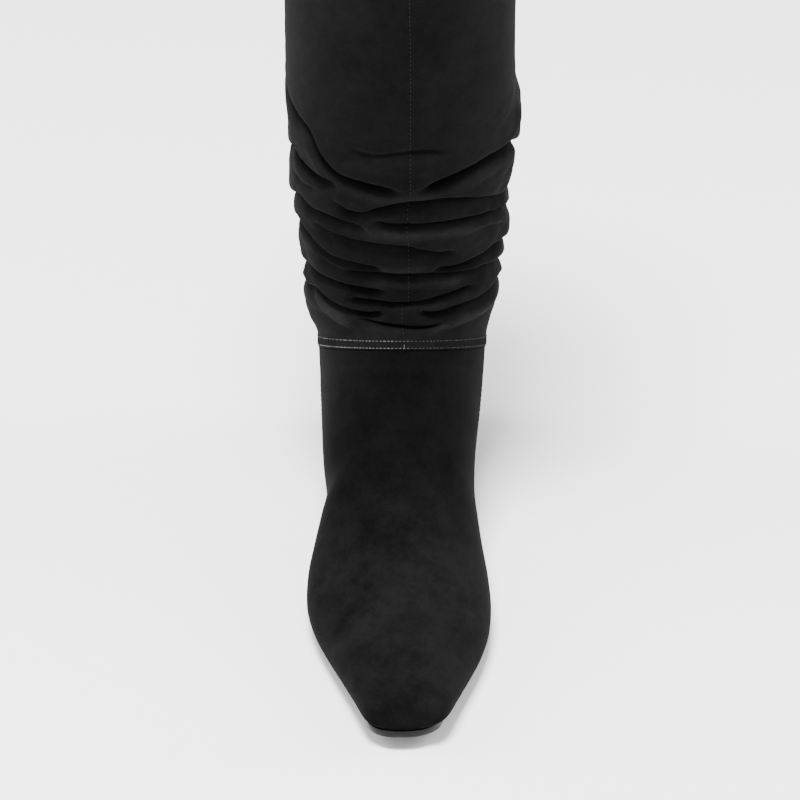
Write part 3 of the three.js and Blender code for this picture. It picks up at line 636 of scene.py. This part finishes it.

# %% [markdown]
# ## The folds of the ankle
# The shaft is longer than the leg, so it sinks and lies in loose rolls. Each fold is a stroke
# round the leg, placed one by one. The skin is drawn in along the stroke, and the roll above it sags
# over it. Cloth physics would make folds of its own, not those of this boot, so strokes are used.
# A turn of 0 is the front, 0.25 the inner side, 0.5 the back and 0.75 the outer side.

# %% Fold strokes: depth, sag and reach below in millimetres, then pairs of turn and height share
FOLDS = (
    (2.6, 0.5, 8.0, ((-0.37, 0.474), (-0.30, 0.474), (-0.25, 0.468), (-0.21, 0.459), (-0.17, 0.452))),
    (6.0, 0.8, 8.0, ((-0.26, 0.469), (-0.211, 0.459), (-0.172, 0.452), (-0.133, 0.444), (-0.109, 0.412),
        (-0.085, 0.396), (-0.055, 0.391), (-0.015, 0.386), (0.015, 0.387))),
    (6.5, 1.2, 8.0, ((0.012, 0.388), (0.031, 0.391), (0.078, 0.403), (0.13, 0.405), (0.188, 0.390),
        (0.25, 0.345), (0.35, 0.335), (0.50, 0.350), (0.65, 0.345), (0.75, 0.340), (0.812, 0.380),
        (0.836, 0.373), (0.875, 0.369), (0.925, 0.378))),
    (6.5, 3.0, 15.0, ((-0.10, 0.345), (-0.075, 0.332), (-0.050, 0.332), (-0.030, 0.345), (0.008, 0.362),
        (0.055, 0.362), (0.11, 0.338), (0.17, 0.302), (0.25, 0.285), (0.34, 0.290))),
    (7.5, 2.4, 10.0, ((-0.045, 0.312), (-0.008, 0.309), (0.055, 0.304), (0.11, 0.292), (0.164, 0.272),
        (0.25, 0.240), (0.35, 0.230), (0.50, 0.235), (0.65, 0.245), (0.75, 0.262), (0.836, 0.300),
        (0.859, 0.296), (0.891, 0.300), (0.930, 0.297), (0.965, 0.282))),
    (6.0, 2.8, 15.0, ((-0.14, 0.262), (-0.10, 0.262), (-0.039, 0.256), (0.00, 0.252), (0.035, 0.235),
        (0.09, 0.213))),
    (7.0, 2.2, 9.0, ((0.040, 0.178), (0.078, 0.180), (0.117, 0.188), (0.172, 0.196), (0.25, 0.178),
        (0.35, 0.165), (0.50, 0.170), (0.65, 0.182), (0.75, 0.207), (0.80, 0.236), (0.836, 0.229),
        (0.867, 0.212), (0.898, 0.196), (0.938, 0.192), (0.985, 0.178))),
    (5.5, 1.6, 9.0, ((-0.095, 0.164), (-0.055, 0.165), (-0.015, 0.166), (0.039, 0.164), (0.086, 0.158),
        (0.148, 0.153), (0.20, 0.147), (0.27, 0.138), (0.36, 0.130))),
    (5.5, 1.6, 9.0, ((-0.34, 0.130), (-0.25, 0.135), (-0.180, 0.144), (-0.141, 0.135), (-0.102, 0.128),
        (-0.062, 0.122), (-0.010, 0.122))),
    (7.0, 2.6, 10.0, ((-0.095, 0.093), (-0.047, 0.095), (-0.008, 0.088), (0.031, 0.090), (0.060, 0.101),
        (0.095, 0.112), (0.13, 0.119))),
    (8.0, 2.6, 11.0, ((0.020, 0.060), (0.055, 0.061), (0.086, 0.071), (0.133, 0.084), (0.188, 0.108),
        (0.25, 0.110), (0.35, 0.100), (0.50, 0.090), (0.65, 0.095), (0.75, 0.104), (0.81, 0.105),
        (0.859, 0.090), (0.906, 0.068), (0.945, 0.060), (0.985, 0.060))),
    (5.0, 1.6, 9.0, ((-0.080, 0.043), (-0.047, 0.036), (-0.023, 0.031), (0.008, 0.024), (0.040, 0.022),
        (0.085, 0.030))),
    (2.4, 0.5, 8.0, ((-0.080, 0.455), (-0.039, 0.450), (0.008, 0.458), (0.039, 0.457), (0.075, 0.440))),
    (2.2, 0.6, 8.0, ((-0.20, 0.335), (-0.15, 0.338), (-0.10, 0.352))),
    (2.4, 0.8, 8.0, ((0.10, 0.262), (0.15, 0.245), (0.21, 0.222))),
    (2.4, 0.8, 8.0, ((0.37, 0.285), (0.50, 0.292), (0.64, 0.296))),
    (2.0, 0.6, 8.0, ((0.30, 0.430), (0.50, 0.425), (0.68, 0.432))),
    (1.2, 0.4, 7.0, ((-0.15, 0.195), (-0.11, 0.172), (-0.06, 0.158))),
    (1.4, 0.4, 7.0, ((0.03, 0.135), (0.09, 0.140), (0.15, 0.128))))
FADE = 0.035            # turn over which a stroke dies away at its ends
SEAM_HOLD = 0.02        # share of the leg's height that the ankle seam keeps smooth
UPPER_FLANK = 6.0       # how far above a fold the skin is drawn in
SAG_REACH = 4.0         # where above a fold the skin sags most
print("folds", len(FOLDS))

# %% Crests
# Crests between the folds, where the nap catches the light: rise in millimetres, how much paler a painted
# highlight makes them, and pairs of turn and height share. The first two run down to the ankle seam.
CRESTS = (
    (2.4, 1.6, ((-0.21, 0.125), (-0.172, 0.102), (-0.141, 0.070), (-0.094, 0.036), (-0.062, 0.007))),
    (2.0, 1.3, ((0.031, -0.001), (0.070, 0.022), (0.102, 0.037), (0.164, 0.058), (0.215, 0.085))),
    (0.6, 0.4, ((-0.15, 0.425), (-0.09, 0.383), (-0.045, 0.374), (-0.005, 0.373), (0.035, 0.378),
        (0.10, 0.386), (0.16, 0.380))),
    (0.3, 0.9, ((-0.06, 0.374), (-0.03, 0.374), (0.0, 0.377), (0.03, 0.377), (0.07, 0.376))),
    (0.4, 1.0, ((-0.16, 0.318), (-0.11, 0.300), (-0.06, 0.290), (0.0, 0.284), (0.06, 0.276),
        (0.12, 0.262))),
    (0.4, 0.9, ((-0.17, 0.232), (-0.12, 0.205), (-0.07, 0.190), (0.0, 0.185), (0.05, 0.192))),
    (0.4, 0.8, ((-0.06, 0.142), (0.0, 0.140), (0.06, 0.138), (0.12, 0.142))),
    (0.4, 0.8, ((-0.02, 0.075), (0.03, 0.078), (0.08, 0.092), (0.14, 0.108))))
CREST_WIDTH = 3.0
print("crests", len(CRESTS))


# %% Where the strokes cross a column
def stroke_level(pairs, turn):
    """Height of a stroke at a turn, on a smooth curve through its pairs."""
    i = next(k for k in range(1, len(pairs)) if pairs[k][0] >= turn)
    (t0, h0), (t1, h1) = pairs[i - 1], pairs[i]
    before, after = pairs[max(i - 2, 0)], pairs[min(i + 1, len(pairs) - 1)]
    width = t1 - t0
    slope0 = (h1 - before[1]) / (t1 - before[0]) * width
    slope1 = (after[1] - h0) / (after[0] - t0) * width
    t = (turn - t0) / width
    a, b = 2 * t ** 3 - 3 * t * t + 1, t ** 3 - 2 * t * t + t
    c, d = 3 * t * t - 2 * t ** 3, t ** 3 - t * t
    return a * h0 + b * slope0 + c * h1 + d * slope1


def strokes_at(table, turn):
    """The strokes of a table that cross one turn: level, how strong it is there, and the rest."""
    found = []
    for *sizes, pairs in table:
        for place in (turn - 1, turn, turn + 1):
            if pairs[0][0] < place < pairs[-1][0]:
                end = min(place - pairs[0][0], pairs[-1][0] - place)
                found.append((stroke_level(pairs, place), smoothstep(end, 0, FADE), *sizes))
    return found


print("folds that cross the front", len(strokes_at(FOLDS, 0)))

# %% Fold and crest at a point
FOLD_REACH = (-25, 30)      # a fold moves nothing further below or above it
# Depths over which the painted shade in the grooves grows from none to full.
GROOVE_SHADE_DEPTHS = (1.2, 5.5)    # the tone goes from pale to dark between these depths
# The share of the colour that the painted shade takes away in the deepest grooves.
GROOVE_SHADE = 0.8


def rolled(t):
    """From 1 in the groove to 0 on the crown of a roll, round like the roll."""
    return 0.5 * (1 - math.sqrt(1 - (1 - t) ** 2)) + 0.5 * (1 - t) ** 2 if t < 1 else 0


def fold(height, folds, crests):
    """How far the folds draw the skin in and let it sag, in millimetres, and the tone there, which
    holds painted shade in the grooves and a painted highlight on the crests.
    """
    drawn = sag = raised = pale = 0.0
    for level, strength, depth, droop, below in folds:
        above = (height - level) * LEG_RISE
        if not FOLD_REACH[0] <= above <= FOLD_REACH[1]:
            continue
        share = above / UPPER_FLANK if above > 0 else -above / below
        drawn = max(drawn, strength * depth * rolled(share))
        if above > 0:
            reach = above / SAG_REACH
            sag = max(sag, strength * droop * reach * math.exp(1 - reach))
    # A crest rises, and its paleness is a painted highlight.
    for level, strength, rise, paler in crests:
        above = (height - level) * LEG_RISE
        ridge = strength * math.exp(-(above / CREST_WIDTH) ** 2)
        raised = max(raised, rise * ridge)
        pale = max(pale, paler * ridge)
    hold = smoothstep(height, 0, SEAM_HOLD)
    # The tone is the painted highlight of the crests times the painted shade of the grooves.
    tone = (1 + pale) * (1 - GROOVE_SHADE * smoothstep(drawn, *GROOVE_SHADE_DEPTHS))
    return (drawn - raised) * hold, sag * hold, tone


# At the flanks the folds lie flatter, more so on the outer side, and the leg is a little slimmer.
# Each row is a turn, how much the folds are calmed there and how many millimetres it is slimmer.
FLANKS = ((0.25, 0.25, 1.0), (0.75, 0.50, 1.9))
FLANK_SPREAD = 0.09


def flank_calm(turn):
    """How much the folds are flattened at a turn, and how far the leg is drawn in there."""
    near = [math.exp(-((turn - place) / FLANK_SPREAD) ** 2) for place, _, _ in FLANKS]
    return tuple(sum(n * row[k] for n, row in zip(near, FLANKS)) for k in (1, 2))


print("drawn in at the front", round(fold(0.36, strokes_at(FOLDS, 0), strokes_at(CRESTS, 0))[0], 1), "mm")

# %% [markdown]
# ## The shaft
# The grid is finest at the front of the ankle, where the folds show. The folds push it in and
# down, and a slow noise keeps the rolls from looking machined. Its lower edge laps the foot and
# is puckered by its stitches. A displacement texture could do this, but it can't let a roll sag.

# %% Shaft: rows and columns
SHAFT_COLUMNS = 220
FRONT_CROWDING = 0.4    # how much closer the columns lie at the front
FOLD_TOP = 0.5          # share of the leg's height with the fine rows
LAP_ROWS, FOLD_ROWS, STRAIGHT_ROWS = 8, 176, 22


def column_turn(c):
    """Turns that lie closer together at the front than at the back."""
    s = c / SHAFT_COLUMNS
    return s - FRONT_CROWDING * math.sin(2 * math.pi * s) / (2 * math.pi)


turns = [column_turn(c) for c in range(SHAFT_COLUMNS)]
half_shares = [2 * turns[c] for c in range(SHAFT_COLUMNS // 2 + 1)]
LAP_EDGE = LAP_START + GAP / seam_step
lap = [lerp(LAP_EDGE, SEAM, i / LAP_ROWS) for i in range(LAP_ROWS)]
heights = [FOLD_TOP * i / FOLD_ROWS for i in range(FOLD_ROWS)]
heights += [lerp(FOLD_TOP, 1, i / STRAIGHT_ROWS) for i in range(STRAIGHT_ROWS + 1)]
leg = [SEAM + find_row(leg_heights, h) for h in heights]
rings = [ring_points(p, half_shares) for p in lap + leg]
shaft_rows = [points for points, _ in rings]
shaft_normals = outward(shaft_rows)
column_folds = [strokes_at(FOLDS, t) for t in turns]
column_calm = [flank_calm(t) for t in turns]
column_crests = [strokes_at(CRESTS, t) for t in turns]
print("shaft", len(shaft_rows), "rows of", SHAFT_COLUMNS, "points")

# %% Puckers and the front seam
PUCKER_PITCH, PUCKER_RISE, PUCKER_ROWS, PUCKER_SLANT = 3.6, 0.4, 6, 0.8
WRINKLES = ((0.045, 0.11, 0.9), (0.1035, 0.253, 0.45))   # how fine across and up, and how deep
WRINKLE_CALM = 0.75     # how much smoother the straight part of the leg is
WRINKLES_BEGIN, WRINKLES_END = (0, 0.05), (0.40, 0.52)  # shares of the leg's height
SLIM_BEGIN, SLIM_END = (0.06, 0.14), (0.38, 0.45)
girth = sum((a - b).length for a, b in zip(shaft_rows[LAP_ROWS], shaft_rows[LAP_ROWS][1:]))
pucker_count = round(girth / PUCKER_PITCH)

# The front seam drifts to the inner side above the lowest folds. Pairs of height and turn.
FRONT_SEAM = ((0.0, 0.003), (0.085, 0.003), (0.1, 0.013), (0.26, 0.012), (0.31, 0.008), (0.39, 0.013),
              (0.62, 0.013), (0.85, 0.008), (1.0, 0.004))
SEAM_SINK, SEAM_HALF_WIDTH = 0.35, 1.1


def front_seam_turn(height):
    i = next(k for k in range(1, len(FRONT_SEAM)) if FRONT_SEAM[k][0] >= height)
    (h0, t0), (h1, t1) = FRONT_SEAM[i - 1], FRONT_SEAM[i]
    return lerp(t0, t1, (height - h0) / (h1 - h0))


def seam_groove(height, turn):
    beside = (turn - front_seam_turn(height)) * girth / SEAM_HALF_WIDTH
    return SEAM_SINK * math.exp(-beside * beside)


print("puckers", pucker_count)

# %% Shaft: skin and wall
# Each tone holds painted shade in the fold grooves and a painted highlight on the crests.
shaft_tones = []
for r, ((points, height), normals) in enumerate(zip(rings, shaft_normals)):
    shaft_tones.append([1.0] * SHAFT_COLUMNS)
    for c, normal in enumerate(normals):
        out = GAP
        drop = 0.0
        if r >= LAP_ROWS:
            drawn, drop, shaft_tones[r][c] = fold(height, column_folds[c], column_crests[c])
            wrinkle = sum(depth * noise.noise(points[c] * Vector((across, across, up)))
                          for across, up, depth in WRINKLES)
            fading = 1 - WRINKLE_CALM * smoothstep(height, *WRINKLES_END)
            fading *= smoothstep(height, *WRINKLES_BEGIN)
            calm, slim = column_calm[c]
            slimmed = slim * smoothstep(height, *SLIM_BEGIN) * (1 - smoothstep(height, *SLIM_END))
            out += wrinkle * fading - drawn * (1 - calm) - slimmed - seam_groove(height, turns[c])
        elif r < PUCKER_ROWS:
            strip = r / PUCKER_ROWS
            wave = math.sin(2 * math.pi * (pucker_count * turns[c] + PUCKER_SLANT * strip))
            out += PUCKER_RISE * wave * math.sin(math.pi * strip)
        point = points[c] + normal * out
        point.z -= drop
        shaft_rows[r][c] = point

bm = wrap_grid(shaft_rows, shaft_tones)
shaft = finish_piece("boot_shaft", bm, (leg_suede, lining), ("shaft",))
thicken(shaft, LAP_WALL)
final_normals = outward(shaft_rows)

# %% [markdown]
# ## Sole, heel and insole
# The sole and the two parts of the heel are each a sheet with the outline of the footprint. Each
# follows the bend of the footbed, is extruded to its thickness and gets a small bevel. The insole
# keeps its imported form and gets the lining. A filled curve would have long thin faces that can't
# bend, so a grid is used.

# %% Plates
EDGE_WIDTH, EDGE_SEGMENTS, EDGE_ANGLE = 0.6, 2, 50


def plate(name, low, high, material, nodes, across=14, lengthwise=96):
    """A closed plate between two outlines. Each is an inset, a start, an end, a level, and how far
    the front end is drawn in at its middle."""
    bm = bmesh.new()
    bmesh.ops.create_grid(bm, x_segments=across, y_segments=lengthwise, size=1)
    grid = {vert: ((vert.co.x + 1) / 2, (vert.co.y + 1) / 2) for vert in bm.verts}
    sheet = bm.faces[:]
    raised = bmesh.ops.extrude_face_region(bm, geom=sheet, use_keep_orig=True)["geom"]
    top = [g for g in raised if isinstance(g, bmesh.types.BMVert)]

    def lay(vert, u, v, inset, start, end, level, hollow):
        whole = end > FOOT_LENGTH / 2
        turn = math.pi * v if whole else math.pi * v / 2
        forward = lerp(start, end, (1 - math.cos(turn)) / (2 if whole else 1))
        x = lerp(-footprint(forward, -1, inset), footprint(forward, 1, inset), u)
        if hollow:
            forward -= hollow * (1 - (2 * u - 1) ** 2) * max(0, v - 0.5) * 2
        vert.co = Vector((x, HEEL_MIDDLE - forward, level(forward))) * MM

    for vert in top:
        lay(vert, (vert.co.x + 1) / 2, (vert.co.y + 1) / 2, *high)
    for vert, (u, v) in grid.items():
        lay(vert, u, v, *low)
    bmesh.ops.remove_doubles(bm, verts=bm.verts, dist=MERGE)
    bmesh.ops.recalc_face_normals(bm, faces=bm.faces)
    piece = finish_piece(name, bm, (material,), nodes)
    soft = piece.modifiers.new("soft edge", "BEVEL")
    soft.width = EDGE_WIDTH * MM
    soft.segments = EDGE_SEGMENTS
    soft.limit_method = "ANGLE"
    soft.angle_limit = math.radians(EDGE_ANGLE)
    return piece


# %% Sole, heel and insole
rim = -SOLE_MARGIN
plate("boot_outsole",
      (rim, rim, FOOT_LENGTH - rim, lambda f: footbed(f) - GAP - SOLE_THICKNESS, 0),
      (rim, rim, FOOT_LENGTH - rim, lambda f: footbed(f) - GAP, 0),
      edge_black, ("outsole",))
foot_inset = HEEL_INSET + HEEL_TAPER
block_foot = LIFT_THICKNESS + GAP
plate("boot_heel_block",
      (foot_inset, foot_inset, HEEL_LENGTH - foot_inset, lambda f: block_foot, BREAST_HOLLOW),
      (HEEL_INSET, HEEL_INSET, HEEL_LENGTH - HEEL_INSET, lambda f: block_foot + BLOCK_HEIGHT,
       BREAST_HOLLOW),
      heel_black, ("heel_block",), lengthwise=48)
plate("boot_heel_lift",
      (foot_inset, foot_inset, HEEL_LENGTH - foot_inset, lambda f: 0.0, BREAST_HOLLOW),
      (foot_inset, foot_inset, HEEL_LENGTH - foot_inset, lambda f: LIFT_THICKNESS, BREAST_HOLLOW),
      rubber, ("heel_lift",), lengthwise=48)
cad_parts["insole"].data.materials.clear()
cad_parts["insole"].data.materials.append(lining)
print("insole keeps its packed form")

# %% [markdown]
# ## Stitches
# Two rows of grey thread hold the lap at the ankle, and a finer row runs up the front. Black
# thread holds the collar and the two sides of the side seam. Each stitch is a small stretched
# ball, nearly half sunk in the suede. Objects along a curve would do too, but as one mesh a row
# stays light, and each stitch lies along the skin.

# %% Stitches: pitch, length and thickness in millimetres
ANKLE_THREAD, COLLAR_THREAD = (1.9, 1.45, 0.55), (3.0, 2.3, 0.6)
SIDE_THREAD, FRONT_THREAD, TACK_THREAD = (2.4, 1.7, 0.3), (2.3, 1.5, 0.3), (1.0, 1.1, 0.5)
STITCH_LIFT = 0.12      # share of its thickness that a stitch's middle stands above the suede


def stitch_row(name, path, sizes, material, closed=False):
    """Stitches along a path of pairs of point and normal."""
    pitch, length, thickness = sizes
    if closed:
        path = path + path[:1]
    lengths = [0.0]
    for (a, _), (b, _) in zip(path, path[1:]):
        lengths.append(lengths[-1] + (b - a).length)
    count = round(lengths[-1] / pitch)
    bm = bmesh.new()
    at = 1
    for k in range(count):
        goal = (k + 0.5) / count * lengths[-1]
        while lengths[at] < goal:
            at += 1
        t = (goal - lengths[at - 1]) / (lengths[at] - lengths[at - 1])
        (a, na), (b, nb) = path[at - 1], path[at]
        tangent = (b - a).normalized()
        normal = na.lerp(nb, t).normalized()
        across = normal.cross(tangent).normalized()
        turn = Matrix((tangent, across, tangent.cross(across))).transposed().to_4x4()
        size = Matrix.Diagonal((length / 2, thickness / 2, thickness / 2, 1))
        place = Matrix.Translation(a.lerp(b, t) + normal * thickness * STITCH_LIFT)
        bmesh.ops.create_uvsphere(bm, u_segments=6, v_segments=5, radius=1,
                                  matrix=Matrix.Scale(MM, 4) @ place @ turn @ size)
    return finish_piece(name, bm, (material,), ())


# %% Rows at the ankle and the collar
def around(row):
    return list(zip(shaft_rows[row], final_normals[row]))


collar_row = len(shaft_rows) - 2
stitch_row("lower_seam_stitches", around(1), ANKLE_THREAD, thread, closed=True)
stitch_row("upper_seam_stitches", around(PUCKER_ROWS - 1), ANKLE_THREAD, thread, closed=True)
stitch_row("collar_stitches", around(collar_row), COLLAR_THREAD, dark_thread, closed=True)

# %% Rows beside the side seam
# The side seam of the upper runs from the ankle down to the sole, with a stitch row at each side.
SIDE_SEAM_HIGH, SIDE_SEAM_LOW, SIDE_SEAM_APART = 56.0, 92.0, 1.8
SIDE_SEAM_SLANT = 0.92  # distance square to the slanting seam, as a share of that along the foot
ROWS_KEPT_CLEAR, COLUMNS_KEPT_CLEAR = 4, 8      # at the lap, and over the instep


def beside_seam(point):
    """Distance in front of the side seam."""
    foot = footbed(SIDE_SEAM_LOW)
    seam = lerp(SIDE_SEAM_LOW, SIDE_SEAM_HIGH, (point.z - foot) / (SEAM_LEVEL - foot))
    return (HEEL_MIDDLE - point.y - seam) * SIDE_SEAM_SLANT


def side_path(columns, offset):
    """The line on one side of the upper that keeps an offset from the side seam, from the top down."""
    path = []
    for c in columns:
        column = [row[c] for row in foot_rows[:1 - ROWS_KEPT_CLEAR]]
        front = [beside_seam(point) - offset for point in column]
        r = next((r for r in range(len(column) - 1) if front[r] >= 0 > front[r + 1]), None)
        if r is not None:
            t = front[r] / (front[r] - front[r + 1])
            path.append((column[r].lerp(column[r + 1], t), foot_normals[r][c]))
    return path


flank = range(COLUMNS_KEPT_CLEAR, SIDE_COUNT)
for name, columns in (("inner", flank), ("outer", [len(foot_rows[0]) - c for c in flank])):
    for place, offset in (("front", SIDE_SEAM_APART), ("back", -SIDE_SEAM_APART)):
        stitch_row(f"side_seam_{name}_{place}", side_path(columns, offset), SIDE_THREAD, dark_thread)


# %% Row on the front seam, and its tack
def on_shaft(row, turn):
    c = next(k for k in range(1, SHAFT_COLUMNS) if turns[k] >= turn)
    t = (turn - turns[c - 1]) / (turns[c] - turns[c - 1])
    point = shaft_rows[row][c - 1].lerp(shaft_rows[row][c], t)
    return point, final_normals[row][c - 1].lerp(final_normals[row][c], t).normalized()


front_path = [on_shaft(r, front_seam_turn(rings[r][1])) for r in range(LAP_ROWS, collar_row)]
stitch_row("front_seam_stitches", front_path, FRONT_THREAD, fine_thread)
tack = [on_shaft(r, front_seam_turn(0)) for r in range(1, 4)]
stitch_row("front_tack", tack, TACK_THREAD, thread)
